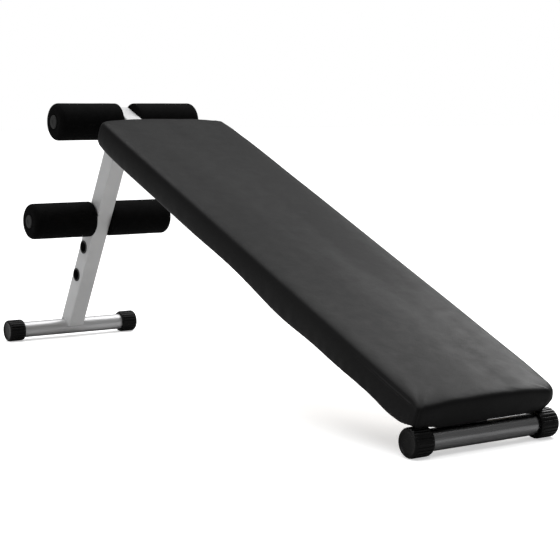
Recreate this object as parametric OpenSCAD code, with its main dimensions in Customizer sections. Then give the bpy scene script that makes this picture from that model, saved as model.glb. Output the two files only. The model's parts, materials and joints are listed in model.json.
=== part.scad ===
// Decline sit up bench: a padded board on a sloping steel tube, held up at the
// head end by a leaning post that folds under the board. Two pairs of foam
// rollers hold the legs. +X points to the low end, +Y across, +Z up. The origin
// is on the floor, halfway between the two foot tubes.

/* [Stance] */
// Distance between the axes of the two foot tubes
foot_span = 1540; // [1400:10:1650]
// Length of the post from foot tube axis to upper roller axis
post_length = 588; // [540:2:620]
// Lean of the post from the vertical, in degrees
post_lean = 29.6; // [24:0.2:34]

/* [Frame tubes] */
// Width of the main tube, across the bench
main_tube_w = 40; // [36:1:44]
// Depth of the main tube
main_tube_h = 50; // [40:1:54]
// Width of the post, across the bench
post_w = 40; // [38:1:44]
// Depth of the post, along the bench
post_d = 45; // [42:1:50]
// Wall thickness of the main tube and of the post
wall = 2; // [1.5:0.5:3]
// Outer diameter of both foot tubes
foot_tube_d = 38; // [32:1:40]
// Wall thickness of the foot tubes
foot_tube_wall = 1.5; // [1:0.5:2.5]
// Overall width of the front foot with its caps
front_foot_w = 318; // [280:2:380]
// Overall width of the rear foot with its caps
rear_foot_w = 348; // [300:1:400]

/* [Foot caps] */
// Outer diameter over the ribs of a foot cap
cap_d = 52; // [44:1:56]
// Length of a foot cap
cap_length = 40; // [30:1:50]
// Number of ribs around a foot cap
cap_ribs = 24; // [12:4:28]
// Width of one rib
rib_w = 2.8; // [1.5:0.1:3]
// Height of one rib
rib_h = 1.4; // [0.5:0.1:1.8]

/* [Pad] */
// Length of the pad
pad_length = 1200; // [1050:2:1210]
// Width of the pad
pad_w = 314; // [280:2:340]
// Distance from the upper roller axis to the pad's high end
pad_from_rollers = 154; // [130:2:200]
// Height of the pad's top above the main tube's axis
pad_top_h = 77; // [70:0.5:90]
// Thickness of the plywood board
board_t = 12; // [9:1:15]
// How far the padded side edges hang below the board
edge_drop = 13; // [6:1:14]
// How far the padded ends hang below the board
end_drop = 7; // [4:1:12]
// Corner radius of the pad
pad_corner_r = 28; // [20:1:40]

/* [Foam rollers] */
// Outer diameter of a foam roller
roller_d = 85; // [70:1:90]
// Length of a foam roller
roller_length = 160; // [140:2:180]
// Rounding of a roller's outer end
roller_round = 12; // [4:1:14]
// Diameter of the roller rods
rod_d = 25; // [22:1:28]
// Wall thickness of the roller rods
rod_wall = 1.5; // [1:0.5:2.5]
// Height of the lowest rod hole above the rear foot axis, along the post
first_hole = 154.5; // [120:0.5:170]
// Distance between rod holes along the post
hole_pitch = 81.5; // [70:0.5:84]
// Position that holds the lower rod, counted from 0 at the bottom
rod_position = 2; // [0:1:2]

/* [Fold pivot] */
// Distance from the upper roller axis to the fold pivot, along the post
pivot_drop = 66; // [64:1:72]
// Diameter of the pivot bolt
pivot_bolt_d = 10; // [8:1:12]
// Diameter of the star knob
knob_d = 40; // [34:1:42]

/* [Hidden] */
$fn = 64;

eps = 0.01;
fit_gap = 0.06;          // radial clearance of turning shafts
cap_r = cap_d / 2;
foot_r = foot_tube_d / 2;
foot_z = cap_r;          // axis height of both foot tubes
rear_x = -foot_span / 2;
front_x = foot_span / 2;

// Upper roller axis and the slope of the main tube that runs from it to the front foot
head_x = rear_x + post_length * sin(post_lean);
head_z = foot_z + post_length * cos(post_lean);
slope = atan2(head_z - foot_z, front_x - head_x);
run = norm([front_x - head_x, head_z - foot_z]);

// Main tube, measured down the slope from the upper roller axis
tube_overhang = 26;
tube_end_gap = 12;       // square end stops short of the front foot axis
tube_top = main_tube_h / 2;

// Pad heights above the main tube's axis
bracket_t = 3;
board_bottom = tube_top + bracket_t;
board_top = board_bottom + board_t;
board_inset = 14;        // cushion wraps this much past the board on every side
edge_w = 22;             // width of the padded edges below the board
under_inset = 4;         // the pad's underside is drawn in this much
bulge_h = 46;            // height of the pad's widest outline
top_inset = 6;           // the pad's sides lean in this much above that outline
pad_edge_round = 10;
hem_t = 0.8;             // the cover's hem runs under the board
hem_w = 22;
pad_low_end = pad_from_rollers + pad_length;

// Pad brackets, measured down the slope
bracket_l = 200;
bracket_w = 36;
bracket_from_end = 220;
bracket_x = [pad_from_rollers + bracket_from_end, pad_low_end - bracket_from_end];
bolt_y = 80;             // pad bolts sit this far from the centre line
pad_bolt_r = 4;
pad_bolt_length = 13;
washer_t = 1.6;
staple_pitch = 48;

// Roller stations
rod_r = rod_d / 2;
roller_r = roller_d / 2;
hole_back = 3.5;         // rod holes sit this far behind the post's centre line
bush_wall = 2.5;
bush_r = rod_r + fit_gap + bush_wall;
flange_r = 16;
flange_t = 1.4;
bush_depth = 14;
upper_inner = main_tube_w / 2 + 0.5;
lower_inner = post_w / 2 + flange_t + 0.4;
plug_flange_t = 3;
plug_stem = 18;
plug_recess = 1.5;       // part of the plug's flange that sits inside the foam

post_foot_lift = 3;      // the post's end stops this far above the rear foot axis
post_base = 2.5;         // and its rear wall this far up the post from there

// Fold pivot, measured up the post from the rear foot axis
pivot_z = post_length - pivot_drop;
ear_r = 15;
lug_w = post_w - 2 * wall - 1;
lug_wall = 3;
stop_gap = 0.2;          // the post's rear wall stops against the lug after this much play
stop_h = 22;             // height of that wall above the pivot
lug_d = post_d - 2 * wall - 2 * stop_gap;
pivot_r = pivot_bolt_d / 2;
slot_drop = lug_d / 2 + 5;    // the post's front wall is cut away this far below the pivot
bolt_head_r = 9.5;
pivot_washer_r = 10;
knob_t = 16;
knob_boss_t = 8;
knob_lobes = 5;

// ---- helpers ----

// Puts its children on the main tube's axis: x down the slope from the upper rollers
module on_tube() {
    translate([head_x, 0, head_z]) rotate([0, slope, 0]) children();
}

// Puts its children on the post's axis: z up the post from the rear foot
module on_post() {
    translate([rear_x, 0, foot_z]) rotate([0, post_lean, 0]) children();
}

// Cylinder along Y from y1 to y2
module across(r, y1, y2) {
    translate([0, y1, 0]) rotate([-90, 0, 0]) cylinder(r = r, h = y2 - y1);
}

// Round tube along Y, centred
module across_tube(r, thickness, length) {
    difference() {
        across(r, -length / 2, length / 2);
        across(r - thickness, -length / 2 - 1, length / 2 + 1);
    }
}

// Rectangle with round corners
module round_rect(size, r) {
    inner = [size.x - 2 * r, size.y - 2 * r];
    union() {
        square([inner.x, size.y], center = true);
        square([size.x, inner.y], center = true);
        for (sx = [-1, 1], sy = [-1, 1])
            translate([sx * inner.x / 2, sy * inner.y / 2]) circle(r = r, $fn = 32);
    }
}

// Rectangular tube section
module tube_section(size, thickness, r) {
    difference() {
        round_rect(size, r);
        round_rect([size.x - 2 * thickness, size.y - 2 * thickness], max(r - thickness, 0.5));
    }
}

// ---- main frame ----

module main_tube() {
    length = run + tube_overhang - tube_end_gap;
    color("silver") difference() {
        on_tube() translate([-tube_overhang, 0, 0]) rotate([90, 0, 90])
            linear_extrude(length) tube_section([main_tube_w, main_tube_h], wall, 4);
        translate([front_x, 0, foot_z]) across(foot_r, -main_tube_w, main_tube_w);
        on_tube() across(bush_r, -main_tube_w, main_tube_w);
    }
}

// Stub under the main tube that the top of the post straddles
module pivot_lug() {
    lug_top = pivot_drop;
    color("silver") difference() {
        on_post() translate([0, 0, pivot_z]) union() {
            translate([-lug_d / 2, -lug_w / 2, 0]) cube([lug_d, lug_w, lug_top]);
            across(lug_d / 2, -lug_w / 2, lug_w / 2);
        }
        on_post() translate([-lug_d / 2 + lug_wall, -lug_w / 2 + lug_wall, pivot_z - lug_d])
            cube([lug_d - 2 * lug_wall, lug_w - 2 * lug_wall, lug_top + 2 * lug_d]);
        on_post() translate([0, 0, pivot_z]) across(pivot_r + fit_gap, -lug_w, lug_w);
        on_tube() translate([-lug_top, -lug_w, -tube_top]) cube([2 * lug_top, 2 * lug_w, 3 * tube_top]);
    }
}

module head_plug() {
    plug_t = tube_overhang - bush_r - 2;
    plug_skin = 2;
    color("black") on_tube() translate([-tube_overhang + 0.5, 0, 0]) rotate([90, 0, 90]) difference() {
        linear_extrude(plug_t)
            round_rect([main_tube_w - 2 * wall, main_tube_h - 2 * wall], 2);
        translate([0, 0, plug_skin]) linear_extrude(plug_t)
            round_rect([main_tube_w - 4 * wall, main_tube_h - 4 * wall], 2);
    }
}

module foot_tube(x, width) {
    translate([x, 0, foot_z]) across_tube(foot_r, foot_tube_wall, width - 12);
}

module front_foot_tube() {
    color("silver") foot_tube(front_x, front_foot_w);
}

// Ribbed sleeve with a closed end, side is -1 for left and 1 for right
module foot_cap(x, width, side) {
    end_t = 5.9;
    core_r = cap_r - rib_h;
    chamfer = 1.6;
    translate([x, side * width / 2, foot_z]) rotate([side * 90, 0, 0]) difference() {
        union() {
            rotate_extrude() polygon([[0, 0], [core_r - chamfer, 0], [core_r, chamfer],
                [core_r, cap_length], [0, cap_length]]);
            for (i = [0:cap_ribs - 1]) rotate([0, 0, 360 * i / cap_ribs])
                translate([core_r - 1, -rib_w / 2, chamfer])
                cube([rib_h + 1, rib_w, cap_length - 2 * chamfer]);
        }
        translate([0, 0, end_t]) cylinder(r = foot_r, h = cap_length);
    }
}

module front_cap_left() { color("black") foot_cap(front_x, front_foot_w, -1); }
module front_cap_right() { color("black") foot_cap(front_x, front_foot_w, 1); }
module rear_cap_left() { color("black") foot_cap(rear_x, rear_foot_w, -1); }
module rear_cap_right() { color("black") foot_cap(rear_x, rear_foot_w, 1); }

// ---- pad ----

module pad_bracket(x) {
    lip = 10;
    on_tube() translate([x, 0, tube_top]) difference() {
        union() {
            translate([-bracket_w / 2, -bracket_l / 2, 0]) cube([bracket_w, bracket_l, bracket_t]);
            for (side = [-1, 1])
                translate([-bracket_w / 2, side > 0 ? main_tube_w / 2 : -bracket_l / 2, -lip])
                cube([bracket_t, (bracket_l - main_tube_w) / 2, lip + eps]);
        }
        for (side = [-1, 1]) translate([0, side * bolt_y, -1])
            cylinder(r = pad_bolt_r + 0.5, h = bracket_t + 2);
    }
}

module rear_pad_bracket() { color("silver") pad_bracket(bracket_x[0]); }
module front_pad_bracket() { color("silver") pad_bracket(bracket_x[1]); }

module at_pad_bolts(h) {
    on_tube() for (x = bracket_x, side = [-1, 1]) translate([x, side * bolt_y, h]) children();
}

module tee_nut_body() {
    cylinder(r = 5.5, h = board_t - 1.5);
    translate([0, 0, board_t - 1.5]) cylinder(r = 10, h = 1.5);
}

module pad_board() {
    size = [pad_length - 2 * board_inset, pad_w - 2 * board_inset];
    color("burlywood") difference() {
        on_tube() translate([pad_from_rollers + pad_length / 2, 0, board_bottom])
            linear_extrude(board_t) round_rect(size, 18);
        at_pad_bolts(board_bottom) tee_nut_body();
    }
}

module pad_tee_nuts() {
    color("gray") difference() {
        at_pad_bolts(board_bottom) tee_nut_body();
        at_pad_bolts(board_bottom) translate([0, 0, -1]) cylinder(r = pad_bolt_r, h = board_t + 3);
    }
}

module pad_bolts() {
    head_r = 7.2;
    head_h = 4.4;
    socket_r = 2.9;
    color("dimgray") at_pad_bolts(tube_top - washer_t) difference() {
        union() {
            cylinder(r = pad_bolt_r, h = pad_bolt_length + washer_t);
            translate([0, 0, -head_h]) rotate_extrude() polygon([[0, 0], [head_r - 3, 0],
                [head_r - 0.8, 1.6], [head_r, head_h - 0.8], [head_r, head_h], [0, head_h]]);
        }
        translate([0, 0, -head_h - 1]) cylinder(r = socket_r, h = 3.6, $fn = 6);
    }
}

module pad_washers() {
    color("silver") at_pad_bolts(tube_top - washer_t) difference() {
        cylinder(r = 9, h = washer_t);
        translate([0, 0, -1]) cylinder(r = pad_bolt_r + 0.3, h = washer_t + 2);
    }
}

// Slab with round corners between two heights, drawn in from the pad's widest outline
module pad_slab(inset, h1, h2) {
    translate([0, 0, h1]) linear_extrude(h2 - h1)
        round_rect([pad_length - 2 * inset, pad_w - 2 * inset], pad_corner_r - inset);
}

module pad_cushion() {
    board_size = [pad_length - 2 * board_inset, pad_w - 2 * board_inset];
    hem_bottom = board_bottom - hem_t;
    side_length = pad_length - 3 * pad_corner_r;
    end_length = front_foot_w - 2 * cap_length - 6;
    notch = main_tube_w / 2 + 2;
    color("black") on_tube() translate([pad_from_rollers + pad_length / 2, 0, 0]) difference() {
        union() {
            hull($fn = 32) {
                pad_slab(under_inset, hem_bottom, board_top);
                pad_slab(0, bulge_h - 5, bulge_h + 5);
                pad_slab(top_inset, bulge_h, pad_top_h - pad_edge_round);
                pad_slab(top_inset + pad_edge_round * 0.3, bulge_h, pad_top_h - pad_edge_round * 0.3);
                pad_slab(top_inset + pad_edge_round, bulge_h, pad_top_h);
            }
            for (side = [-1, 1])
                translate([-side_length / 2, side * (pad_w / 2 - under_inset - edge_w / 2) - edge_w / 2,
                    hem_bottom - edge_drop])
                cube([side_length, edge_w, edge_drop + eps]);
            for (end = [-1, 1], side = [-1, 1])
                translate([end * (pad_length / 2 - under_inset - edge_w / 2) - edge_w / 2,
                    side > 0 ? notch : -end_length / 2, hem_bottom - end_drop])
                cube([edge_w, end_length / 2 - notch, end_drop + eps]);
        }
        translate([0, 0, board_bottom]) linear_extrude(board_t) round_rect(board_size, 18);
        translate([0, 0, hem_bottom - 1]) linear_extrude(hem_t + 2)
            round_rect([board_size.x - 2 * hem_w, board_size.y - 2 * hem_w], 12);
    }
}

// Staples that hold the cover's hem under the board
module pad_staples() {
    crown = 10;
    leg = 5;
    wire = 1;
    row_x = under_inset + edge_w + 4;
    staple_y = pad_w / 2 - row_x;
    long_count = floor((pad_length - 4 * row_x) / staple_pitch);
    module staple() {
        translate([-crown / 2, -wire / 2, -wire]) cube([crown, wire, wire]);
        for (side = [-1, 1]) translate([side * (crown - wire) / 2 - wire / 2, -wire / 2, -wire / 2])
            cube([wire, wire, leg]);
    }
    color("silver") on_tube() translate([pad_from_rollers + pad_length / 2, 0, board_bottom - hem_t]) {
        for (i = [0:long_count], side = [-1, 1])
            translate([(i - long_count / 2) * staple_pitch, side * staple_y, 0]) staple();
        for (end = [-1, 1], y = [-84, -42, 42, 84])
            translate([end * (pad_length / 2 - row_x), y, 0]) rotate([0, 0, 90]) staple();
    }
}

// ---- post ----

module rear_post() {
    length = pivot_z + stop_h;
    cut = pivot_z - slot_drop;
    slot_w = post_w - 2 * wall + 1.2;
    color("silver") difference() {
        on_post() difference() {
            intersection() {
                translate([0, 0, post_base]) linear_extrude(length - post_base)
                    tube_section([post_d, post_w], wall, 3);
                union() {
                    translate([-post_d, -post_w, 0]) cube([2 * post_d, 2 * post_w, pivot_z]);
                    translate([0, 0, pivot_z]) across(ear_r, -post_w, post_w);
                    translate([-post_d / 2, -post_w, pivot_z - 1]) cube([wall + 2, 2 * post_w, stop_h + 1]);
                }
            }
            translate([0, 0, pivot_z]) across(pivot_r + fit_gap, -post_w, post_w);
            translate([post_d / 2 - wall - 2.5, -slot_w / 2, cut]) cube([wall + 5, slot_w, length]);
            for (i = [0:2]) translate([-hole_back, 0, first_hole + i * hole_pitch])
                across(bush_r, -post_w, post_w);
        }
        translate([rear_x, 0, foot_z]) across(foot_r, -post_w, post_w);
        translate([rear_x - 2 * post_d, -post_w, -1]) cube([4 * post_d, 2 * post_w, foot_z + 1 + post_foot_lift]);
    }
}

module rear_foot_tube() {
    color("silver") foot_tube(rear_x, rear_foot_w);
}

// Flanged bush pressed into one side of a tube, mouth facing -Y
module flanged_bush() {
    difference() {
        union() {
            across(bush_r, 0, bush_depth);
            across(flange_r, -flange_t, 0);
        }
        across(rod_r + fit_gap, -flange_t - 1, bush_depth + 1);
    }
}

module post_bushes() {
    color("black") on_post() for (i = [0:2], side = [0, 1])
        translate([-hole_back, 0, first_hole + i * hole_pitch]) mirror([0, side, 0])
        translate([0, -post_w / 2, 0]) flanged_bush();
}

module upper_bush() {
    on_tube() difference() {
        across(bush_r, -main_tube_w / 2, -main_tube_w / 2 + bush_depth);
        across(rod_r + fit_gap, -main_tube_w, 0);
    }
}

module upper_bush_left() { color("black") upper_bush(); }
module upper_bush_right() { color("black") mirror([0, 1, 0]) upper_bush(); }

// ---- fold pivot ----

module at_pivot() {
    on_post() translate([0, 0, pivot_z]) children();
}

module pivot_bolt() {
    head_h = 4.5;
    side_y = post_w / 2;
    end_y = side_y + washer_t + knob_boss_t + knob_t - 4;
    color("dimgray") at_pivot() {
        across(pivot_r, -side_y - washer_t - 1, end_y);
        translate([0, -side_y - washer_t, 0]) rotate([90, 0, 0]) rotate_extrude()
            polygon([[0, 0], [bolt_head_r, 0], [bolt_head_r - 1.2, 2.4], [bolt_head_r - 4.5, head_h], [0, head_h]]);
    }
}

module pivot_washers() {
    color("silver") at_pivot() for (side = [-1, 1]) difference() {
        across(pivot_washer_r, side > 0 ? post_w / 2 : -post_w / 2 - washer_t,
            side > 0 ? post_w / 2 + washer_t : -post_w / 2);
        across(pivot_r + fit_gap, -post_w, post_w);
    }
}

module pivot_sleeve() {
    half = lug_w / 2 - lug_wall;
    color("silver") at_pivot() difference() {
        across(pivot_r + 3, -half, half);
        across(pivot_r + fit_gap, -half - 1, half + 1);
    }
}

module pivot_knob() {
    knob_y = post_w / 2 + washer_t;
    lobe_r = knob_d / 5;
    color("black") at_pivot() translate([0, knob_y, 0]) rotate([-90, 0, 0]) difference() {
        union() {
            cylinder(r = pivot_washer_r - 1, h = knob_boss_t + 1);
            translate([0, 0, knob_boss_t]) linear_extrude(knob_t) union() {
                circle(r = knob_d * 0.37);
                for (i = [0:knob_lobes - 1]) rotate([0, 0, 360 * i / knob_lobes])
                    translate([knob_d / 2 - lobe_r, 0]) circle(r = lobe_r);
            }
        }
        translate([0, 0, -1]) cylinder(r = pivot_r + 2, h = knob_boss_t + knob_t - 2);
    }
}

module knob_insert() {
    knob_y = post_w / 2 + washer_t;
    color("gold") at_pivot() difference() {
        across(pivot_r + 2, knob_y, knob_y + knob_boss_t + knob_t - 3);
        across(pivot_r + fit_gap, knob_y - 1, knob_y + knob_boss_t + knob_t);
    }
}

// ---- rollers ----

module at_upper_rod() {
    translate([head_x, 0, head_z]) children();
}

module at_lower_rod() {
    on_post() translate([-hole_back, 0, first_hole + rod_position * hole_pitch])
        rotate([0, -post_lean, 0]) children();
}

// The rod stops where the flanges of its end plugs begin
module rod(inner) {
    across_tube(rod_r, rod_wall, 2 * (inner + roller_length - plug_recess));
}

// Flanged plug in the left end of a rod
module rod_plug(inner) {
    stem_r = rod_r - rod_wall;
    translate([0, -(inner + roller_length - plug_recess), 0]) {
        difference() {
            across(stem_r, 0, plug_stem);
            across(stem_r - 2, 1, plug_stem + 1);
        }
        rotate([90, 0, 0]) rotate_extrude() polygon([[0, 0], [15.5, 0], [15.5, 1.6],
            [14.2, plug_flange_t], [6, plug_flange_t], [5, plug_flange_t - 0.8], [0, plug_flange_t - 0.8]]);
    }
}

// Foam tube on the left side, with a round shoulder at its outer end
module foam_roller(inner) {
    inner_round = 3;
    steps = 8;
    outer_arc = [for (i = [0:steps]) let (a = 90 * i / steps)
        [roller_r - roller_round + roller_round * cos(a), roller_length - roller_round + roller_round * sin(a)]];
    inner_arc = [for (i = [0:steps]) let (a = -90 + 90 * i / steps)
        [roller_r - inner_round + inner_round * cos(a), inner_round + inner_round * sin(a)]];
    bore_r = rod_r + fit_gap;
    pocket_r = 15.5 + 0.4;
    translate([0, -inner, 0]) rotate([90, 0, 0]) rotate_extrude()
        polygon(concat([[bore_r, 0]], inner_arc, outer_arc,
            [[pocket_r, roller_length], [pocket_r, roller_length - plug_recess - 0.3],
            [bore_r, roller_length - plug_recess - 0.3]]));
}

module upper_rod() { color("silver") at_upper_rod() rod(upper_inner); }
module lower_rod() { color("silver") at_lower_rod() rod(lower_inner); }
module upper_rod_plug_left() { color("dimgray") at_upper_rod() rod_plug(upper_inner); }
module upper_rod_plug_right() { color("dimgray") at_upper_rod() mirror([0, 1, 0]) rod_plug(upper_inner); }
module lower_rod_plug_left() { color("dimgray") at_lower_rod() rod_plug(lower_inner); }
module lower_rod_plug_right() { color("dimgray") at_lower_rod() mirror([0, 1, 0]) rod_plug(lower_inner); }
module upper_roller_left() { color("black") at_upper_rod() foam_roller(upper_inner); }
module upper_roller_right() { color("black") at_upper_rod() mirror([0, 1, 0]) foam_roller(upper_inner); }
module lower_roller_left() { color("black") at_lower_rod() foam_roller(lower_inner); }
module lower_roller_right() { color("black") at_lower_rod() mirror([0, 1, 0]) foam_roller(lower_inner); }

main_tube();
pivot_lug();
head_plug();
front_foot_tube();
front_cap_left();
front_cap_right();
rear_pad_bracket();
front_pad_bracket();
pad_board();
pad_cushion();
pad_tee_nuts();
pad_bolts();
pad_washers();
pad_staples();
upper_bush_left();
upper_bush_right();
rear_post();
rear_foot_tube();
rear_cap_left();
rear_cap_right();
post_bushes();
pivot_bolt();
pivot_washers();
pivot_sleeve();
pivot_knob();
knob_insert();
upper_rod();
upper_rod_plug_left();
upper_rod_plug_right();
lower_rod();
lower_rod_plug_left();
lower_rod_plug_right();
upper_roller_left();
upper_roller_right();
lower_roller_left();
lower_roller_right();
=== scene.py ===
"""Looks for the decline sit up bench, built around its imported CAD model."""

import json
import math

import bmesh
import bpy
import numpy as np
from mathutils import Matrix, Vector, noise


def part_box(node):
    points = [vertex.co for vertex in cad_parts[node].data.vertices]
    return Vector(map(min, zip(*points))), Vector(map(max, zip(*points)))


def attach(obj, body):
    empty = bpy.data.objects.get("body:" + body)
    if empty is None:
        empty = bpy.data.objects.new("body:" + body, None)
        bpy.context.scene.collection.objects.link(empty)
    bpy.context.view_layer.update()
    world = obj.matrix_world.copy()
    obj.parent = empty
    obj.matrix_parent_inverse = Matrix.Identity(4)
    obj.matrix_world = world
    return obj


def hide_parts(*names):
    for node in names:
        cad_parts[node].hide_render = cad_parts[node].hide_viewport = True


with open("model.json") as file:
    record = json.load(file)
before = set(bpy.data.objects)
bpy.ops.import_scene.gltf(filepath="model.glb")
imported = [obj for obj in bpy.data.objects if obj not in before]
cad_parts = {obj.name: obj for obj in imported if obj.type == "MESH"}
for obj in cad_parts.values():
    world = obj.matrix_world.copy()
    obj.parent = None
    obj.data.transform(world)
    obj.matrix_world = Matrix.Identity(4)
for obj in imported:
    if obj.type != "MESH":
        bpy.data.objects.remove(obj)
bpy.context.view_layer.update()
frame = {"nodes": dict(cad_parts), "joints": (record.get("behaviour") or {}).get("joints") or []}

SIDES = ((-1, "left"), (1, "right"))
NODES = frame["nodes"]
JOINTS = {j["name"]: j for j in frame["joints"]}


# ---- places, from the CAD ----


def centre(node):
    low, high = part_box(node)
    return (low + high) / 2


def round_radius(node):
    """Radius of a round node whose axis runs across the bench."""
    low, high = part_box(node)
    return (high.z - low.z) / 2


def slanted_frame(origin, x_dir):
    """Local axes: X along x_dir in the XZ plane, Y across, Z its upward normal."""
    x = x_dir.normalized()
    y = Vector((0, 1, 0))
    z = x.cross(y)
    m = Matrix((x, y, z)).transposed().to_4x4()
    m.translation = origin
    return m


upper_axis = Vector(JOINTS["upper_rod_spin"]["pos_m"])
lower_axis = Vector(JOINTS["lower_rod_spin"]["pos_m"])
pivot = Vector(JOINTS["post_fold"]["pos_m"])
front_axis = centre("front_foot_tube")
rear_axis = centre("rear_foot_tube")

# TUBE: x down the slope from the upper rod, z = height over the main tube's axis
TUBE = slanted_frame(upper_axis, front_axis - upper_axis)
# POST: x up the post from the rear foot, z = toward the bench's high end
POST = slanted_frame(rear_axis, upper_axis - rear_axis)


def get_co(obj):
    """A mesh's points, as an array of rows."""
    co = np.empty(len(obj.data.vertices) * 3)
    obj.data.vertices.foreach_get("co", co)
    return co.reshape(-1, 3)


def local_points(node, axes):
    inv = np.array(axes.inverted())
    return get_co(NODES[node]) @ inv[:3, :3].T + inv[:3, 3]


def local_box(node, axes):
    """Lowest and highest corner of a CAD node along the axes of a local frame."""
    co = local_points(node, axes)
    return co.min(0), co.max(0)


# ---- mesh helpers ----


def new_object(name, verts, faces):
    """A smooth shaded mesh object."""
    mesh = bpy.data.meshes.new(name)
    mesh.from_pydata([tuple(v) for v in verts], [], [tuple(f) for f in faces])
    mesh.validate()
    mesh.polygons.foreach_set("use_smooth", [True] * len(mesh.polygons))
    obj = bpy.data.objects.new(name, mesh)
    bpy.context.collection.objects.link(obj)
    return obj


def set_co(obj, co):
    obj.data.vertices.foreach_set("co", np.asarray(co, float).ravel())
    obj.data.update()


def place(obj, matrix):
    """Moves the mesh itself, so the object's own transform stays plain."""
    obj.data.transform(matrix)


def select_only(obj):
    bpy.ops.object.select_all(action="DESELECT")
    obj.select_set(True)
    bpy.context.view_layer.objects.active = obj


def apply_modifiers(obj):
    select_only(obj)
    bpy.ops.object.convert(target="MESH")


def set_material(obj, mat):
    obj.data.materials.clear()
    obj.data.materials.append(mat)


def paint_node(node, mat):
    """Gives a CAD node a better material."""
    for s in NODES[node].material_slots:
        s.material = mat


def turned(profile, steps, radius_at, closed=False):
    """Points and faces of a profile turned round the Y axis.

    Each profile row starts with its radius and its place along Y, and radius_at(row, step, angle)
    gives the radius there. A closed profile's last point meets its first.
    """
    count = len(profile)
    verts = []
    for i in range(steps):
        a = 2 * math.pi * i / steps
        for row in profile:
            r = radius_at(row, i, a)
            verts.append((r * math.cos(a), row[1], r * math.sin(a)))
    faces = []
    for i in range(steps):
        n = (i + 1) % steps
        for j in range(count if closed else count - 1):
            m = (j + 1) % count
            faces.append((i * count + j, i * count + m, n * count + m, n * count + j))
    return verts, faces


def fix_normals(obj):
    bm = bmesh.new()
    bm.from_mesh(obj.data)
    bmesh.ops.remove_doubles(bm, verts=bm.verts, dist=1e-6)
    bmesh.ops.recalc_face_normals(bm, faces=bm.faces)
    bm.to_mesh(obj.data)
    bm.free()


def arc(cx, cy, r, start, end, steps):
    """Points on a circle, angles in degrees."""
    out = []
    for i in range(steps + 1):
        a = math.radians(start + (end - start) * i / steps)
        out.append((cx + r * math.cos(a), cy + r * math.sin(a)))
    return out


# ---- materials ----


class Shader:
    """A material's node tree with short calls for what is used here."""

    def __init__(self, name):
        self.mat = bpy.data.materials.new(name)
        self.mat.use_nodes = True
        self.tree = self.mat.node_tree
        self.bsdf = self.tree.nodes["Principled BSDF"]

    def add(self, kind, **values):
        node = self.tree.nodes.new(kind)
        for key, value in values.items():
            if key in node.inputs:
                node.inputs[key].default_value = value
            else:
                setattr(node, key, value)
        return node

    def link(self, a, b):
        self.tree.links.new(a, b)

    def set(self, **values):
        for key, value in values.items():
            self.bsdf.inputs[key.replace("_", " ")].default_value = value

    def coords(self):
        return self.add("ShaderNodeTexCoord").outputs["Object"]

    def noise(self, scale, detail=3.0, rough=0.55, vector=None):
        n = self.add("ShaderNodeTexNoise", Scale=scale, Detail=detail, Roughness=rough)
        self.link(vector or self.coords(), n.inputs["Vector"])
        return n.outputs["Fac"]

    def voronoi(self, scale, feature="F1"):
        n = self.add("ShaderNodeTexVoronoi", Scale=scale)
        n.feature = feature
        self.link(self.coords(), n.inputs["Vector"])
        return n.outputs["Distance"]

    def ramp(self, value, stops):
        n = self.add("ShaderNodeValToRGB")
        ramp = n.color_ramp
        while len(ramp.elements) < len(stops):
            ramp.elements.new(0.5)
        for e, (pos, colour) in zip(ramp.elements, stops):
            e.position = pos
            e.color = (*colour, 1)
        self.link(value, n.inputs["Fac"])
        return n.outputs["Color"]

    def grey_ramp(self, value, low, high, start=0.3, end=0.7):
        return self.ramp(value, [(start, (low,) * 3), (end, (high,) * 3)])

    def paint(self, value, low, high, start=0.3, end=0.7):
        """Base colour between two colours."""
        self.connect(self.ramp(value, [(start, low), (end, high)]), "Base Color")

    def math(self, operation, a, b):
        n = self.add("ShaderNodeMath", operation=operation)
        for socket, value in zip(n.inputs, (a, b)):
            if isinstance(value, (int, float)):
                socket.default_value = value
            else:
                self.link(value, socket)
        return n.outputs["Value"]

    def stretched(self, sx, sy, sz, rotation=(0, 0, 0)):
        n = self.add("ShaderNodeMapping")
        n.inputs["Scale"].default_value = (sx, sy, sz)
        n.inputs["Rotation"].default_value = rotation
        self.link(self.coords(), n.inputs["Vector"])
        return n.outputs["Vector"]

    def bump(self, height, strength, distance, normal=None):
        n = self.add("ShaderNodeBump", Strength=strength, Distance=distance)
        self.link(height, n.inputs["Height"])
        if normal is not None:
            self.link(normal, n.inputs["Normal"])
        return n.outputs["Normal"]

    def connect(self, value, socket):
        self.link(value, self.bsdf.inputs[socket])


def make_cover():
    """Black leatherette: fine pebbled grain, faint large variation, a satin sheen."""
    s = Shader("pad_leatherette")
    tone = s.noise(9.0, 2.0)
    s.paint(tone, (0.0036, 0.0036, 0.0037), (0.0053, 0.0053, 0.0054))
    bands = s.noise(13.0, 1.0, vector=s.stretched(0.12, 1.0, 0.12))
    gloss = s.math("ADD", s.math("MULTIPLY", s.noise(35.0, 3.0), 0.35), s.math("MULTIPLY", bands, 0.65))
    s.connect(s.grey_ramp(gloss, 0.40, 0.52, 0.38, 0.62), "Roughness")
    s.set(Specular_IOR_Level=0.1)
    grain = s.voronoi(900.0, "SMOOTH_F1")
    pores = s.noise(2600.0, 2.0)
    soft = s.noise(60.0, 2.0)
    n = s.bump(soft, 0.12, 0.002)
    n = s.bump(grain, 0.22, 0.0006, n)
    n = s.bump(pores, 0.12, 0.0003, n)
    s.connect(n, "Normal")
    return s.mat


def make_foam():
    """Closed cell foam rubber: nearly black, no shine, fine open texture."""
    s = Shader("roller_foam")
    tone = s.noise(70.0, 3.0)
    s.paint(tone, (0.0018, 0.0018, 0.0018), (0.0032, 0.0032, 0.0033))
    s.set(Roughness=0.85, Specular_IOR_Level=0.04)
    cells = s.voronoi(1500.0)
    grain = s.noise(700.0, 4.0, 0.7)
    n = s.bump(cells, 0.35, 0.0006)
    n = s.bump(grain, 0.25, 0.0006, n)
    s.connect(n, "Normal")
    return s.mat


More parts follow.
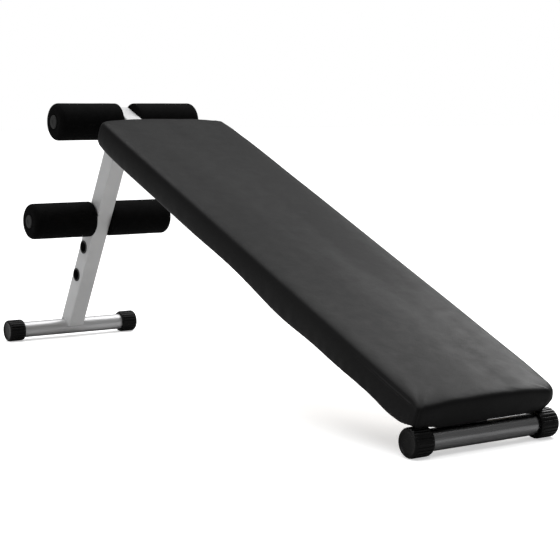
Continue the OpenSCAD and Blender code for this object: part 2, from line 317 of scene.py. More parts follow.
def make_paint():
    """Silver powder coat: flat metallic grey with a light orange peel."""
    s = Shader("silver_powder_coat")
    tone = s.noise(14.0, 2.0)
    fleck = s.noise(2200.0, 1.0)
    mixed = s.math("ADD", s.math("MULTIPLY", tone, 0.6), s.math("MULTIPLY", fleck, 0.4))
    s.paint(mixed, (0.58, 0.582, 0.585), (0.66, 0.662, 0.665), 0.35, 0.65)
    s.set(Metallic=0.35, Roughness=0.46)
    peel = s.noise(420.0, 2.0)
    s.connect(s.bump(peel, 0.12, 0.0006), "Normal")
    return s.mat


def make_tube_steel(name, low, high, metallic, rough):
    """Plated tube, lightly drawn along its length."""
    s = Shader(name)
    drawn = s.noise(60.0, 3.0, vector=s.stretched(6, 0.25, 6))
    s.paint(drawn, (low, low, low * 1.01), (high, high, high * 1.01))
    s.connect(s.grey_ramp(drawn, rough, rough + 0.1), "Roughness")
    s.set(Metallic=metallic)
    s.connect(s.bump(drawn, 0.05, 0.0004), "Normal")
    return s.mat


def make_plastic(name, low, high, rough, shine=0.25):
    """Moulded plastic with a fine spark-eroded texture."""
    s = Shader(name)
    tone = s.noise(40.0, 2.0)
    s.connect(s.grey_ramp(tone, low, high), "Base Color")
    worn = s.noise(90.0, 3.0)
    s.connect(s.grey_ramp(worn, rough - 0.05, rough + 0.06), "Roughness")
    s.set(Specular_IOR_Level=shine)
    s.connect(s.bump(s.noise(1250.0, 2.0), 0.12, 0.0005), "Normal")
    return s.mat


def make_metal(name, colour, rough):
    """Plated hardware with faint handling marks."""
    s = Shader(name)
    tone = s.noise(120.0, 3.0)
    dark = tuple(c * 0.86 for c in colour)
    s.paint(tone, dark, colour)
    marks = s.noise(260.0, 4.0, 0.65)
    s.connect(s.grey_ramp(marks, rough - 0.05, rough + 0.08), "Roughness")
    s.set(Metallic=1.0)
    s.connect(s.bump(marks, 0.04, 0.0004), "Normal")
    return s.mat


def make_plywood():
    """Birch plywood board: long grain on the face, a few darker streaks."""
    s = Shader("plywood")
    angle = math.atan2(-(TUBE.col[0].z), TUBE.col[0].x)
    along = s.stretched(1.2, 22, 22, (0, -angle, 0))
    grain = s.noise(14.0, 4.0, 0.6, along)
    woods = [(0.25, (0.36, 0.24, 0.13)), (0.5, (0.55, 0.40, 0.24)), (0.78, (0.64, 0.49, 0.31))]
    s.connect(s.ramp(grain, woods), "Base Color")
    s.set(Roughness=0.7)
    s.connect(s.bump(grain, 0.15, 0.0006), "Normal")
    return s.mat


def make_weld():
    """Painted over weld bead."""
    s = Shader("painted_weld")
    tone = s.noise(180.0, 3.0)
    s.paint(tone, (0.40, 0.405, 0.41), (0.52, 0.525, 0.53))
    s.set(Metallic=0.35, Roughness=0.42)
    s.connect(s.bump(s.noise(500.0, 3.0), 0.2, 0.0006), "Normal")
    return s.mat


COVER = make_cover()
FOAM = make_foam()
PAINT = make_paint()
REAR_STEEL = make_tube_steel("rear_foot_steel", 0.47, 0.56, 0.68, 0.28)
# the front foot tube is the same steel as the rear one; its darker base colour is painted shade, standing
# in for the shadow of the pad that hangs over it
SHADED_FRONT_STEEL = make_tube_steel("front_foot_steel_painted_shade", 0.20, 0.26, 1.0, 0.2)
CAP = make_plastic("foot_cap_plastic", 0.0014, 0.0026, 0.24, shine=0.13)
BUSH = make_plastic("bush_plastic", 0.006, 0.010, 0.4)
PLUG = make_plastic("rod_plug_plastic", 0.011, 0.018, 0.5)
KNOB = make_plastic("knob_plastic", 0.009, 0.014, 0.38)
STEEL = make_metal("zinc_hardware", (0.62, 0.62, 0.60), 0.3)
BLACK_STEEL = make_metal("black_oxide_bolt", (0.06, 0.06, 0.062), 0.42)
CHROME = make_metal("chromed_rod", (0.75, 0.75, 0.76), 0.12)
BRASS = make_metal("brass_insert", (0.75, 0.55, 0.24), 0.3)
PLY = make_plywood()
WELD = make_weld()

for node in ("main_tube", "pivot_lug", "rear_post", "rear_pad_bracket", "front_pad_bracket"):
    paint_node(node, PAINT)
paint_node("rear_foot_tube", REAR_STEEL)
paint_node("front_foot_tube", SHADED_FRONT_STEEL)
for node in ("upper_bush_left", "upper_bush_right", "post_bushes"):
    paint_node(node, BUSH)
for node in ("pad_washers", "pad_tee_nuts", "pad_staples", "pivot_washers", "pivot_sleeve"):
    paint_node(node, STEEL)
for node in ("pad_bolts", "pivot_bolt"):
    paint_node(node, BLACK_STEEL)
for node in ("upper_rod", "lower_rod"):
    paint_node(node, CHROME)
for row in ("upper", "lower"):
    for side, word in SIDES:
        paint_node(f"{row}_rod_plug_{word}", PLUG)
paint_node("head_plug", CAP)
paint_node("knob_insert", BRASS)
paint_node("pad_board", PLY)


# ---- the padded board ----

PAD_LOW, PAD_HIGH = local_box("pad_cushion", TUBE)
PAD_MID = (PAD_LOW + PAD_HIGH) / 2
HALF_L = (PAD_HIGH[0] - PAD_LOW[0]) / 2
HALF_W = (PAD_HIGH[1] - PAD_LOW[1]) / 2
PAD_TOP = PAD_HIGH[2]
RIM_BOTTOM = PAD_LOW[2]
HEM_UNDER = local_box("pad_board", TUBE)[0][2] - 0.0008
CAP_START = abs(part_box("front_cap_right")[0].y)
TUBE_HALF = local_box("main_tube", TUBE)[1][1]
# how far the filling may move the cover
FILL_MOVE = 0.0015
# how far the low end's rim may hang down before it meets the foot caps
CAP_ROOM = HEM_UNDER - round_radius("front_cap_right") - 0.0006


def outline(a, b, radii, long_steps=64, short_steps=20, corner_steps=6):
    """Rounded rectangle, half length a, half width b, one radius per corner.

    It always has the same count of points, so that outlines can be joined as rings.
    """
    pts = []
    for k, (sx, sy) in enumerate(((1, 1), (-1, 1), (-1, -1), (1, -1))):
        r = radii[k]
        r_next = radii[(k + 1) % 4]
        pts += arc(sx * (a - r), sy * (b - r), r, 90 * k, 90 * k + 90, corner_steps)
        steps = short_steps if k % 2 else long_steps
        for i in range(1, steps):
            t = i / steps
            if k % 2 == 0:
                first, last = sx * (a - r), -sx * (a - r_next)
                pts.append((first + (last - first) * t, sy * b))
            else:
                first, last = sy * (b - r), -sy * (b - r_next)
                pts.append((sx * a, first + (last - first) * t))
    return np.array(pts)


def corner_radii(radius, inset):
    """The high right and low left corners are crisp, the other two are rounder."""
    rounder = radius * (1.9 - 3.0 * inset)
    return (rounder, radius, radius * 1.8, radius * 0.9)


def smooth_step(x, low, high):
    t = np.clip((x - low) / (high - low), 0, 1)
    return t * t * (3 - 2 * t)


def hump(x, middle, reach):
    return np.exp(-(((x - middle) / reach) ** 2))


def side_drop(x, to_end, left, low_end):
    """How far the rim hangs along the sides. It sags past the middle, and most of all on the left."""
    sag = -0.0030 * hump(x, -0.03, 0.09) + 0.0075 * hump(x, 0.19, 0.10) + 0.0025 * hump(x, 0.36, 0.06)
    slack = -0.0006 + sag * np.where(left, 1.0, 0.3)
    slack = slack + 0.0040 * hump(to_end, 0.080, 0.026) * low_end * left
    return HEM_UNDER - RIM_BOTTOM + slack


def end_drop(y, low_end):
    """How far the rim hangs on the ends. The low end's left hangs lower, but clears the caps."""
    low_drop = 0.0050 + 0.0034 * smooth_step(-y, -0.02, 0.05)
    drop = np.where(low_end, low_drop, 0.0070)
    over_cap = smooth_step(np.abs(y), CAP_START - 0.012, CAP_START - 0.002)
    return drop + (CAP_ROOM - drop) * over_cap * low_end


def rim_drop(x, y):
    """How far the padded rim hangs below the board: most along the sides, least over the main tube."""
    left = y < 0
    low_end = x > 0
    to_end = HALF_L - np.abs(x)
    side = side_drop(x, to_end, left, low_end)
    end = end_drop(y, low_end)
    # the low left corner curls up over its cap
    in_corner = smooth_step(-y, HALF_W - 0.040, HALF_W - 0.016)
    curl = 0.0036 * (1 - smooth_step(to_end, 0.008, 0.020)) * in_corner
    rises_from = np.where(low_end, np.where(left, 0.011, 0.026), 0.008)
    rises_to = np.where(low_end, np.where(left, 0.040, 0.150), 0.045)
    drop = end - curl * low_end + (side - end) * smooth_step(to_end, rises_from, rises_to)
    over_tube = 1 - smooth_step(np.abs(y), TUBE_HALF + 0.001, TUBE_HALF + 0.010)
    at_end = 1 - smooth_step(to_end, 0.03, 0.05)
    return drop * (1 - 0.85 * over_tube * at_end * (1 - low_end))


def top_height(x, y):
    """Crowned top of the pad, highest along its middle."""
    across = np.abs(y) / HALF_W
    along = x / HALF_L
    side_fall = 0.0024 + 0.0018 * along + 0.0006 * along**2
    corner = np.exp(-(HALF_L - np.abs(x)) / 0.028) * smooth_step(across, 0.45, 1.0)
    low_end = np.exp(-(HALF_L - x) / 0.05)
    return PAD_TOP - 0.0003 - side_fall * across**2.4 - 0.0048 * corner - 0.0016 * low_end


def bulge(x):
    """The filled sides stand a little further out between the corners, most toward the high end."""
    t = x / HALF_L
    return (0.0038 - 0.0036 * t) * (1 - t**8)


def pad_blank(wider, lower_top):
    """The pad before it is filled, in its own frame. Filling draws its sides in and lifts its top."""
    # inset from the widest outline, share of the rim's drop, height over the hem, corner radius
    lower = [
        (0.036, 0.0, 0.0070, 0.006), (0.036, 0.0, 0.0, 0.006), (0.032, 0.0, 0.0, 0.007),
        (0.0290, 0.10, 0.0, 0.007), (0.0262, 0.50, 0.0, 0.008), (0.0225, 0.86, 0.0, 0.008),
        (0.0170, 1.0, 0.0, 0.009), (0.0110, 1.0, 0.0, 0.010), (0.0065, 0.95, 0.0, 0.011),
        (0.0034, 0.68, 0.0, 0.012), (0.0016, 0.28, 0.0, 0.012), (0.0006, 0.0, 0.004, 0.013),
        (0.0, 0.0, 0.0115, 0.013), (0.0, 0.0, 0.0200, 0.013),
    ]
    # inset, depth below the crowned top, corner radius
    upper = [
        (0.0003, 0.0190, 0.013), (0.0010, 0.0130, 0.013), (0.0020, 0.0085, 0.012), (0.0034, 0.0052, 0.012),
        (0.0054, 0.0027, 0.012), (0.0082, 0.0010, 0.012), (0.0122, 0.0002, 0.013), (0.0190, 0.0, 0.016),
        (0.0300, 0.0, 0.020), (0.0450, 0.0, 0.024), (0.0620, 0.0, 0.026), (0.0800, 0.0, 0.026),
        (0.0990, 0.0, 0.024), (0.1180, 0.0, 0.018), (0.1380, 0.0, 0.009),
    ]
    verts = []
    for inset, share, lift, radius in lower:
        out = wider * (0.35 + 0.65 * smooth_step(lift, 0.0, 0.018)) - inset
        flat = outline(HALF_L + out, HALF_W + out, corner_radii(radius, inset))
        drop = rim_drop(flat[:, 0], flat[:, 1]) * share
        wide = flat[:, 1] + np.sign(flat[:, 1]) * bulge(flat[:, 0]) * (inset < 0.02)
        # the low right corner is drawn in under itself
        tuck = 0.013 * (1 - smooth_step(lift, 0.0, 0.021)) * smooth_step(inset, -0.004, 0.002)
        wide = wide - tuck * (1 - smooth_step(HALF_L - flat[:, 0], 0.01, 0.12)) * (flat[:, 1] > 0)
        verts += [(x, w, HEM_UNDER + lift - d) for x, w, d in zip(flat[:, 0], wide, drop)]
    for inset, depth, radius in upper:
        flat = outline(HALF_L + wider - inset, HALF_W + wider - inset, corner_radii(radius, inset))
        top = top_height(flat[:, 0], flat[:, 1]) - lower_top
        wide = flat[:, 1] + np.sign(flat[:, 1]) * bulge(flat[:, 0]) * max(0.0, 1 - inset / 0.05)
        verts += [(x, w, z - depth) for x, w, z in zip(flat[:, 0], wide, top)]
    rings = len(lower) + len(upper)
    count = len(verts) // rings
    faces = []
    for k in range(rings - 1):
        for i in range(count):
            n = (i + 1) % count
            faces.append((k * count + i, k * count + n, (k + 1) * count + n, (k + 1) * count + i))
    # the underside is one flat face
    faces.append(tuple(range(count - 1, -1, -1)))
    # the top closes on its centre line
    last = (rings - 1) * count
    flat = outline(HALF_L - HALF_W, 0.0001, (0.00005,) * 4)
    base = len(verts)
    top = top_height(flat[:, 0], flat[:, 1]) - lower_top
    verts += [(x, 0.0, z) for x, z in zip(flat[:, 0], top)]
    for i in range(count):
        n = (i + 1) % count
        faces.append((last + i, last + n, base + n, base + i))
    obj = new_object("pad_cover", verts, faces)
    bm = bmesh.new()
    bm.from_mesh(obj.data)
    bmesh.ops.remove_doubles(bm, verts=bm.verts, dist=1.5e-4)
    bmesh.ops.recalc_face_normals(bm, faces=bm.faces)
    bm.to_mesh(obj.data)
    bm.free()
    return obj


def spread_out(obj, values, rounds):
    """Evens out a value per point by averaging it over the neighbours, again and again."""
    ends = np.empty(len(obj.data.edges) * 2, dtype=np.int32)
    obj.data.edges.foreach_get("vertices", ends)
    a, b = ends.reshape(-1, 2).T
    count = np.bincount(ends, minlength=len(values))[:, None]
    for _ in range(rounds):
        total = np.zeros_like(values)
        np.add.at(total, a, values[b])
        np.add.at(total, b, values[a])
        values = total / np.maximum(count, 1)
    return values


def inflate(obj, pinned, cap, pressure=4.0, frames=20):
    """Fills the closed shape by cloth simulation and keeps each point within cap of where it was."""
    rest = get_co(obj)
    group = obj.vertex_groups.new(name="pin")
    weights = np.round(pinned, 2)
    for weight in np.unique(weights):
        if weight > 0:
            group.add(np.nonzero(weights == weight)[0].tolist(), float(weight), "REPLACE")
    cloth = obj.modifiers.new("cloth", "CLOTH")
    c = cloth.settings
    c.quality = 6
    c.mass = 0.25
    c.tension_stiffness = 25
    c.compression_stiffness = 25
    c.shear_stiffness = 12
    c.bending_stiffness = 2.0
    c.use_pressure = True
    c.uniform_pressure_force = pressure
    c.vertex_group_mass = "pin"
    c.effector_weights.gravity = 0
    cloth.collision_settings.use_collision = False
    cloth.point_cache.frame_start = 1
    cloth.point_cache.frame_end = frames
    scene = bpy.context.scene
    for f in range(1, frames + 1):
        scene.frame_set(f)
    apply_modifiers(obj)
    scene.frame_set(1)
    step = get_co(obj) - rest
    # the crown's middle moves as one, with no dimple where its faces meet
    crown = smooth_step(rest[:, 2], PAD_TOP - 0.012, PAD_TOP - 0.008)
    crown = crown * (1 - smooth_step(np.abs(rest[:, 1]), 0.02, 0.05))
    step += (spread_out(obj, step, 40) - step) * crown[:, None]
    length = np.linalg.norm(step, axis=1)
    scale = np.where(length > cap, cap / np.maximum(length, 1e-9), 1.0)
    set_co(obj, rest + step * scale[:, None])


# heights of the cover's marks along its normal
STAPLE_PULL = 0.0007
CORNER_GATHER = 0.0005
PLEAT_DEPTH = 0.0009
SLACK_FOLD = 0.0013
FOAM_UNEVEN = 0.0006


def upholstery_marks(co, normals):
    """Pulls and pleats of the stapled cover, as heights along the surface normal."""
    x, y, z = co[:, 0], co[:, 1], co[:, 2]
    to_end = HALF_L - np.abs(x)
    to_side = HALF_W - np.abs(y)
    sideways = np.clip(1 - np.abs(normals[:, 2]) ** 2, 0, 1)
    height = np.zeros(len(co))
    # staples pull the long sides in at the bottom, unevenly
    low_band = np.exp(-(((z - (HEM_UNDER - 0.003)) / 0.011) ** 2)) * sideways
    pull = np.sin(x * 118 + 1.3 * np.sin(x * 31 + y * 9)) * 0.5
    pull += np.sin(x * 211 + 2.0 * np.sin(x * 17)) * 0.5
    toward_low = 0.35 + 0.65 * smooth_step(x, -0.2, 0.35)
    height += STAPLE_PULL * pull * low_band * smooth_step(to_end, 0.03, 0.1) * toward_low
    # gathers under each corner
    angle = np.arctan2(np.abs(y) - (HALF_W - 0.03), np.abs(x) - (HALF_L - 0.03))
    from_corner = np.hypot(np.minimum(to_end - 0.012, 0.06), np.minimum(to_side - 0.012, 0.06))
    near = np.exp(-((from_corner / 0.034) ** 2))
    gathers = np.sin(angle * 13 + 0.6 * np.sign(x * y) + 1.4 * np.sin(angle * 5 + x * 9))
    lower = 1 - smooth_step(z, HEM_UNDER + 0.004, HEM_UNDER + 0.030)
    height += CORNER_GATHER * gathers * near * lower
    # one folded pleat runs up each corner
    for sx in (-1, 1):
        for sy in (-1, 1):
            turn = (x * sx - (HALF_L - 0.0045)) - (y * sy - (HALF_W - 0.0045))
            here = (x * sx > HALF_L - 0.04) & (y * sy > HALF_W - 0.04)
            crease = np.exp(-((turn / 0.0016) ** 2)) - 0.55 * np.exp(-(((turn - 0.0042) / 0.0026) ** 2))
            fade = 1 - smooth_step(z, PAD_TOP - 0.022, PAD_TOP - 0.009)
            height -= PLEAT_DEPTH * crease * here * fade * sideways
    # a slack fold below the top edge, toward the low end
    fold = np.exp(-(((z - (PAD_TOP - 0.0165)) / 0.0017) ** 2))
    fold -= 0.6 * np.exp(-(((z - (PAD_TOP - 0.0125)) / 0.0024) ** 2))
    reach = smooth_step(x, HALF_L - 0.22, HALF_L - 0.10)
    reach = reach * (1 - smooth_step(x, HALF_L - 0.030, HALF_L - 0.012))
    height += SLACK_FOLD * fold * sideways * reach * (to_side < 0.02)
    # slow unevenness of the foam
    uneven = [noise.noise((px * 7, py * 10, pz * 9)) for px, py, pz in co]
    return height + FOAM_UNEVEN * np.array(uneven)


def fine(obj, levels):
    """Subdivides a mesh for good."""
    m = obj.modifiers.new("fine", "SUBSURF")
    m.levels = levels
    m.render_levels = levels
    apply_modifiers(obj)


def from_rim(co):
    """Each point's distance inside the pad's nearest edge."""
    return np.minimum(HALF_L - np.abs(co[:, 0]), HALF_W - np.abs(co[:, 1]))


def make_pad():
    """The padded board's cover: a closed blank, filled, with the marks of its upholstery."""
    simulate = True
    pad = pad_blank(FILL_MOVE, FILL_MOVE) if simulate else pad_blank(0.0, 0.0)
    fine(pad, 1)
    if simulate:
        co = get_co(pad)
        under = 1 - smooth_step(co[:, 2], HEM_UNDER - 0.001, HEM_UNDER + 0.004)
        free = 0.25 + 0.75 * smooth_step(co[:, 2], HEM_UNDER - 0.004, HEM_UNDER + 0.022)
        inflate(pad, under * smooth_step(from_rim(co), 0.006, 0.014), FILL_MOVE * free)
    fine(pad, 1)
    co = get_co(pad)
    normals = np.empty(len(co) * 3)
    pad.data.vertices.foreach_get("normal", normals)
    normals = normals.reshape(-1, 3)
    # the hem lies flat on the board, so it gets no marks
    hem = (co[:, 2] > HEM_UNDER - 0.0004) & (co[:, 2] < HEM_UNDER + 0.009) & (from_rim(co) > 0.027)
    marks = np.where(hem, 0.0, upholstery_marks(co, normals))
    set_co(pad, co + normals * marks[:, None])
    pad.data.polygons.foreach_set("use_smooth", [True] * len(pad.data.polygons))
    place(pad, TUBE @ Matrix.Translation((PAD_MID[0], 0, 0)))
    set_material(pad, COVER)
    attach(pad, "frame")
    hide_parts("pad_cushion")


make_pad()


# ---- foam rollers ----


# the foam's skin lies this far inside the CAD roller, so that its unevenness stays within it
FOAM_SHRINK = 0.0004


def make_roller(name, body, node, axis, side):
    """Foam tube on its rod: a square inner end, a rounded outer end with a recess for the plug."""
    low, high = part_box(node)
    length = high.y - low.y
    radius = (high.z - low.z) / 2 - 0.0001
    inner_y = min(abs(low.y), abs(high.y))
    bore = 0.0128
    # the outer end's rounding, and the recess that its plug sits in
    shoulder = 0.0125
    pocket = 0.0161
    profile = [(bore, 0.0006), (bore + 0.004, 0.0), (radius - 0.010, 0.0)]
    profile += arc(radius - 0.0045, 0.0045, 0.0045, -90, 0, 6)
    profile += [(radius, s) for s in np.linspace(0.012, length - shoulder - 0.006, 22)]
    profile += arc(radius - shoulder, length - shoulder, shoulder, 0, 78, 12)
    profile += [
        (radius - shoulder - 0.004, length - 0.0001),
        (radius - shoulder - 0.008, length - 0.0005),
        (pocket + 0.0022, length - 0.0006),
        (pocket, length - 0.0016),
        (pocket - 0.0004, length - 0.0022),
        (bore, length - 0.0022),
    ]
    profile = [(float(r), float(s)) for r, s in profile]
    seed = sum(ord(c) for c in name) % 17

    def radius_at(row, step, a):
        r, y = row
        if r < pocket + 0.001:
            return r
        p = (math.cos(a) * 1.6 + seed, math.sin(a) * 1.6, y * 22)
        return r + (-FOAM_SHRINK + 0.00035 * noise.noise(p))

    obj = new_object(name, *turned(profile, 128, radius_at, closed=True))
    fix_normals(obj)
    flip = Matrix.Scale(side, 4, (0, 1, 0))
    place(obj, Matrix.Translation(axis + Vector((0, side * inner_y, 0))) @ flip)
    fix_normals(obj)
    set_material(obj, FOAM)
    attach(obj, body)
    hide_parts(node)


for row, axis in (("upper", upper_axis), ("lower", lower_axis)):
    for side, word in SIDES:
        make_roller(f"foam_{row}_{word}", f"roller_{row}_{word}", f"{row}_roller_{word}", axis, side)


# ---- ribbed foot caps ----


RIB_COUNT = 24
RIB_HEIGHT = 0.0014


def make_cap(name, body, node, axis, side):
    """Moulded sleeve: closed end with a raised rim, soft edged ribs round its skirt."""
    low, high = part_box(node)
    length = high.y - low.y
    outer = (high.z - low.z) / 2
    core = outer - RIB_HEIGHT
    bore = round_radius("front_foot_tube")
    end_y = max(abs(low.y), abs(high.y))
    # (radius, distance from the closed end, share of rib height)
    profile = [
        (0.0, 0.0012, 0), (0.006, 0.0012, 0), (core - 0.0075, 0.0012, 0), (core - 0.0062, 0.0008, 0),
        (core - 0.0052, 0.0, 0), (core - 0.0028, 0.0, 0), (core - 0.0012, 0.0004, 0),
        (core - 0.0003, 0.0014, 0.0), (core, 0.0026, 0.35), (core, 0.0036, 0.85), (core, 0.0046, 1.0),
        (core, 0.010, 1.0), (core, 0.020, 1.0), (core, length - 0.008, 1.0), (core, length - 0.0046, 1.0),
        (core, length - 0.0034, 0.8), (core, length - 0.0026, 0.2), (core, length - 0.0020, 0.0),
        (core - 0.0004, length - 0.0006, 0), (core - 0.0012, length, 0), (bore + 0.0005, length, 0),
        (bore + 0.0001, length - 0.0006, 0), (bore + 0.0001, 0.0062, 0), (0.0, 0.0062, 0),
    ]
    per_rib = 12

    def radius_at(row, step, a):
        phase = abs(((step / per_rib) + 0.5) % 1 - 0.5) * 2
        top = 1 - smooth_step(np.array(phase), 0.42, 0.66)
        return row[0] + RIB_HEIGHT * row[2] * float(top)

    obj = new_object(name, *turned(profile, RIB_COUNT * per_rib, radius_at))
    turn = Matrix.Rotation(math.pi / 2, 4, "Y")
    flip = Matrix.Scale(-side, 4, (0, 1, 0))
    spot = Vector((axis.x, side * end_y, axis.z))
    place(obj, Matrix.Translation(spot) @ flip @ turn)
    fix_normals(obj)
    obj.data.set_sharp_from_angle(angle=math.radians(50))
    set_material(obj, CAP)
    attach(obj, body)
    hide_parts(node)


for foot, body, axis in (("front", "frame", front_axis), ("rear", "leg", rear_axis)):
    for side, word in SIDES:
        make_cap(f"cap_{foot}_{word}", body, f"{foot}_cap_{word}", axis, side)


# ---- star knob ----


def make_knob():
    """Five lobed knob on a short round neck, hollow round its insert."""
    low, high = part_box("pivot_knob")
    radius = (high.z - low.z) / 2
    depth = high.y - low.y
    neck = 0.009
    boss = 0.008
    bore = 0.00715
    lobes = 5
    lobe_depth = 0.26
    # (radius, distance from the neck's end, share of the lobes' depth)
    profile = [
        (bore, 0.0, 0), (neck - 0.0006, 0.0, 0), (neck, 0.0006, 0), (neck, boss - 0.002, 0),
        (neck + 0.001, boss - 0.0006, 0), (neck + 0.003, boss, 0.1), (0.70 * radius, boss + 0.0002, 0.5),
        (0.93 * radius, boss + 0.0012, 0.9), (radius, boss + 0.0036, 1), (radius, boss + 0.007, 1),
        (radius, depth - 0.0042, 1), (0.965 * radius, depth - 0.0018, 0.95),
        (0.88 * radius, depth - 0.0005, 0.85), (0.72 * radius, depth, 0.5),
        (0.5 * radius, depth - 0.0004, 0.15), (0.4 * radius, depth - 0.0012, 0), (0.0, depth - 0.0014, 0),
    ]

    def radius_at(row, step, a):
        wave = (1 - math.cos(lobes * a)) / 2
        return row[0] * (1 - lobe_depth * row[2] * wave**1.4)

    steps = 160
    count = len(profile)
    verts, faces = turned(profile, steps, radius_at)
    # the bore goes in as far as the brass insert
    base = len(verts)
    inner = 0.019
    for i in range(steps):
        a = 2 * math.pi * i / steps
        verts.append((bore * math.cos(a), inner, bore * math.sin(a)))
    verts.append((0, inner, 0))
    for i in range(steps):
        n = (i + 1) % steps
        faces.append((i * count, n * count, base + n, base + i))
        faces.append((base + i, base + n, base + steps))
    obj = new_object("star_knob", verts, faces)
    place(obj, Matrix.Translation((pivot.x, low.y, pivot.z)))
    fix_normals(obj)
    set_material(obj, KNOB)
    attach(obj, "knob")
    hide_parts("pivot_knob")


make_knob()


# ---- weld beads ----


# distance between the rings of a bead, and between its ripples
BEAD_STEP = 0.0006
RIPPLE_PITCH = 0.0021


def make_bead(name, body, path, size, closed=False):
    """A rippled fillet weld along a path of points."""
    pts = [Vector(p) for p in path]
    spaced = [pts[0]]
    for a, b in zip(pts, pts[1:] + ([pts[0]] if closed else [])):
        n = max(1, int((b - a).length / BEAD_STEP))
        spaced += [a.lerp(b, (i + 1) / n) for i in range(n)]
    if closed:
        spaced.pop()
    ring = 10
    taper_rings = 6
    verts = []
    run = 0.0
    total = len(spaced)
    for i, p in enumerate(spaced):
        before = spaced[i - 1] if (closed or i > 0) else p
        after = spaced[(i + 1) % total] if (closed or i < total - 1) else p
        tangent = (after - before).normalized()
        if i:
            run += (p - spaced[i - 1]).length
        ripple = 1 + 0.13 * math.cos(run / RIPPLE_PITCH * 2 * math.pi)
        ripple += 0.08 * noise.noise((run * 160, size * 900, 3.1))
        end = 1.0 if closed else min(1.0, 0.35 + 0.65 * min(i, total - 1 - i) / taper_rings)
        side = tangent.cross(Vector((0.31, 0.17, 0.93)))
        side.normalize()
        up = tangent.cross(side)
        for k in range(ring):
            a = 2 * math.pi * k / ring
            verts.append(p + (side * math.cos(a) + up * math.sin(a)) * size * ripple * end)
    faces = []
    for i in range(total if closed else total - 1):
        n = (i + 1) % total
        for k in range(ring):
            m = (k + 1) % ring
            faces.append((i * ring + k, i * ring + m, n * ring + m, n * ring + k))
    if not closed:
        faces.append(tuple(range(ring - 1, -1, -1)))
        last = (total - 1) * ring
        faces.append(tuple(range(last, last + ring)))
    obj = new_object(name, verts, faces)
    fix_normals(obj)
    set_material(obj, WELD)
    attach(obj, body)


def on_tube(x, y, z):
    return TUBE @ Vector((x, y, z))


def post_welds():
    """Beads where the post meets the rear foot tube."""
    low, high = local_box("rear_post", POST)
    half_d = (high[2] - low[2]) / 2
    half_w = high[1]
    foot_r = round_radius("rear_foot_tube")
    for side, word in SIDES:
        path = []
        for i in range(15):
            world = math.radians(174 - 162 * i / 14)
            p = rear_axis + Vector((math.cos(world), 0, math.sin(world))) * (foot_r + 0.0008)
            q = POST.inverted() @ Vector((p.x, 0, p.z))
            if abs(q.z) < half_d - 0.0035 and p.z > rear_axis.z + 0.003:
                path.append(Vector((p.x, side * (half_w + 0.0004), p.z)))
        if len(path) > 2:
            make_bead(f"weld_post_{word}", "leg", path, 0.0021)


post_welds()


def front_welds():
    """Beads where the main tube meets the front foot tube, above and below."""
    low, high = local_box("main_tube", TUBE)
    f = TUBE.inverted() @ front_axis
    for word, height in (("top", high[2] - 0.001), ("under", low[2] + 0.001)):
        r = round_radius("front_foot_tube") + 0.0005
        reach = max(r * r - min(abs(height), r - 0.004) ** 2, 0.0) ** 0.5
        h = math.copysign(min(abs(height), r - 0.002), height)
        x = min(f.x - reach, high[0] + 0.001)
        half = high[1] - 0.003
        path = [on_tube(x, -half + 2 * half * i / 12, h) for i in range(13)]
        make_bead(f"weld_front_{word}", "frame", path, 0.0022)


front_welds()


def bracket_welds():
    """Beads along both top edges of the main tube, under each cross bracket."""
    for node, word in (("rear_pad_bracket", "rear"), ("front_pad_bracket", "front")):
        low, high = local_box(node, TUBE)
        tube_high = local_box("main_tube", TUBE)[1]
        for side, label in SIDES:
            xs = np.linspace(low[0] + 0.006, high[0] - 0.003, 9)
            path = [on_tube(x, side * (tube_high[1] - 0.0006), tube_high[2] - 0.0008) for x in xs]
            make_bead(f"weld_{word}_bracket_{label}", "frame", path, 0.0018)


bracket_welds()


def lug_welds():
    """One bead round the lug, which leans, so its outline at the tube is that of its highest points."""
    tube_under = local_box("main_tube", TUBE)[0][2]
    lug = local_points("pivot_lug", TUBE)
    top = lug[lug[:, 2] > tube_under - 0.0005]
    a, b = top.min(0), top.max(0)
    corners = [(a[0], a[1]), (b[0], a[1]), (b[0], b[1]), (a[0], b[1])]
    path = [on_tube(x, y, tube_under - 0.0006) for x, y in corners]
    make_bead("weld_lug", "frame", path, 0.0019, closed=True)


lug_welds()


# ---- camera, floor and light ----

CAMERA_SPOT = (2.7018, -1.7144, 0.5724)
CAMERA_AZIMUTH = math.radians(55.95)
CAMERA_ELEVATION = math.radians(6.42)
LENS_MM = 99.24


def make_camera():
    data = bpy.data.cameras.new("camera")
    data.sensor_width = 36
    data.lens = LENS_MM
    data.clip_end = 50
    obj = bpy.data.objects.new("camera", data)
    bpy.context.collection.objects.link(obj)
    a, e = CAMERA_AZIMUTH, CAMERA_ELEVATION
    back = Vector((math.sin(a) * math.cos(e), -math.cos(a) * math.cos(e), math.sin(e)))
    obj.location = CAMERA_SPOT
    obj.rotation_euler = (-back).to_track_quat("-Z", "Y").to_euler()
    bpy.context.scene.camera = obj


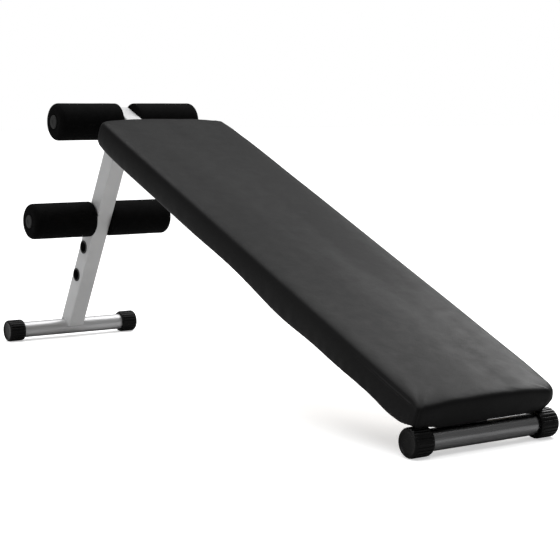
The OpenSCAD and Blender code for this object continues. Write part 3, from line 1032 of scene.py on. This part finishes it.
def make_floor():
    """Pale seamless floor. It throws back less light than it shows, so undersides stay dark."""
    bpy.ops.mesh.primitive_plane_add(size=60)
    floor = bpy.context.object
    floor.name = "floor"
    s = Shader("floor_pale")
    s.set(Base_Color=(0.93, 0.93, 0.93, 1), Roughness=0.9, Specular_IOR_Level=0.1)
    s.set(Emission_Color=(1, 1, 1, 1), Emission_Strength=0.5)
    bounce = s.add("ShaderNodeBsdfDiffuse", Color=(0.50, 0.50, 0.50, 1))
    path = s.add("ShaderNodeLightPath")
    mix = s.add("ShaderNodeMixShader")
    s.link(path.outputs["Is Camera Ray"], mix.inputs["Fac"])
    s.link(bounce.outputs["BSDF"], mix.inputs[1])
    s.link(s.bsdf.outputs["BSDF"], mix.inputs[2])
    s.link(mix.outputs["Shader"], s.tree.nodes["Material Output"].inputs["Surface"])
    set_material(floor, s.mat)


def make_world(light, shown):
    world = bpy.data.worlds.new("studio")
    bpy.context.scene.world = world
    world.use_nodes = True
    tree = world.node_tree
    back = tree.nodes["Background"]
    back.inputs["Color"].default_value = (1, 1, 1, 1)
    back.inputs["Strength"].default_value = light
    seen = tree.nodes.new("ShaderNodeBackground")
    seen.inputs["Color"].default_value = (1, 1, 1, 1)
    seen.inputs["Strength"].default_value = shown
    path = tree.nodes.new("ShaderNodeLightPath")
    mix = tree.nodes.new("ShaderNodeMixShader")
    tree.links.new(path.outputs["Is Camera Ray"], mix.inputs["Fac"])
    tree.links.new(back.outputs["Background"], mix.inputs[1])
    tree.links.new(seen.outputs["Background"], mix.inputs[2])
    tree.links.new(mix.outputs["Shader"], tree.nodes["World Output"].inputs["Surface"])


def area(name, spot, target, size, power, size_y):
    data = bpy.data.lights.new(name, "AREA")
    data.shape = "RECTANGLE"
    data.size = size
    data.size_y = size_y
    data.energy = power
    obj = bpy.data.objects.new(name, data)
    bpy.context.collection.objects.link(obj)
    obj.location = spot
    obj.rotation_euler = (Vector(target) - Vector(spot)).to_track_quat("-Z", "Y").to_euler()


def sun(name, direction, strength, spread):
    data = bpy.data.lights.new(name, "SUN")
    data.energy = strength
    data.angle = math.radians(spread)
    obj = bpy.data.objects.new(name, data)
    bpy.context.collection.objects.link(obj)
    obj.rotation_euler = Vector(direction).to_track_quat("-Z", "Y").to_euler()


make_camera()
make_floor()
make_world(0.24, 1.0)
# a wide sky light, a panel behind that the top reflects, a faint far one and a fill in front
sun("top_soft", (0.12, -0.1, -1.0), 2.4, 70)
area("back_soft", (-0.4, 2.9, 2.3), (0.5, 0, 0.2), 1.9, 58, size_y=1.3)
area("far_soft", (-1.9, 2.3, 2.6), (-0.4, 0.1, 0.5), 1.1, 3, size_y=1.1)
area("front_fill", (-0.2, -3.9, 1.5), (-0.3, 0, 0.3), 2.4, 42, size_y=2.0)

bpy.context.scene.view_settings.view_transform = "Standard"
